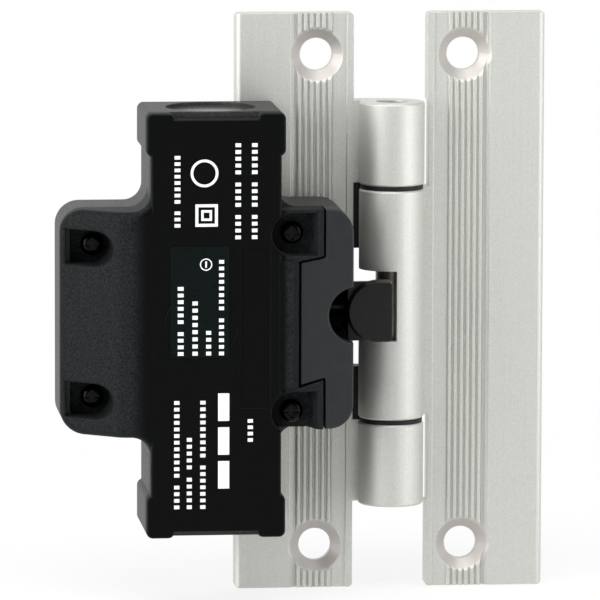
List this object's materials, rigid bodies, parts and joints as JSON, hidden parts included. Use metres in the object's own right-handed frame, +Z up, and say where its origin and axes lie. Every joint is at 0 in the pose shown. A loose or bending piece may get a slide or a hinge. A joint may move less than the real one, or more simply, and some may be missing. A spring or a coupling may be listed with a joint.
{
  "type": "safety hinge switch",
  "caption": "Position switch in a black housing on an aluminium leaf hinge; opening the door leaf pushes the plunger in.",
  "frame": {"origin": "middle of the fixed leaf's two-hole pattern, on the leaf's mounting face", "axes": "+Z up along the hinge axis, +Y out of the leaves' backs into the profile, +X towards the door leaf"},
  "size_m": [0.0933, 0.0257, 0.11],
  "materials": {
    "anodised_aluminium": "satin anodised",
    "pin_steel": "plain",
    "bush_plastic": "smooth",
    "base_plastic": "fine grain",
    "lid_plastic": "fine grain",
    "cover_plastic": "smooth",
    "nose_plastic": "semi-gloss",
    "seal_rubber": "matt",
    "black_screw": "blackened",
    "plain_screw": "zinc plated",
    "label_film": "smooth film",
    "brass": "turned",
    "contact_brass": "stamped",
    "insulator": "moulded",
    "spring_steel": "wire"
  },
  "bodies": {
    "root": {"frame_leaf": "anodised_aluminium", "hinge_pin": "pin_steel", "upper_bush": "bush_plastic", "lower_bush": "bush_plastic", "housing_base": "base_plastic", "housing_lid": "lid_plastic", "head_cover": "cover_plastic", "lid_seal": "seal_rubber", "lid_screws": "black_screw", "base_screws": "plain_screw", "rating_label": "label_film", "guide_bush": "brass", "wiper_seal": "seal_rubber", "contact_block": "insulator", "fixed_contacts": "contact_brass", "terminal_clamps": "plain_screw", "terminal_screws": "plain_screw", "return_spring": "spring_steel"},
    "door": {"door_leaf": "anodised_aluminium"},
    "plunger_body": {"plunger": "nose_plastic", "contact_slide": "insulator", "bridge_contacts": "contact_brass", "contact_springs": "spring_steel"}
  },
  "joints": [
    {"name": "door_hinge", "type": "hinge", "parent": "root", "child": "door", "pos_m": [0.014, -0.0062, 0], "axis": [0, 0, -1], "range_deg": [0, 110]},
    {"name": "plunger_slide", "type": "slide", "parent": "root", "child": "plunger_body", "axis": [-1, 0, 0], "range_m": [0, 0.004], "deforming": ["return_spring"]}
  ],
  "couplings": [
    {"joint": "plunger_slide", "follows": "door_hinge", "m_per_rad": 0.0020835}
  ]
}
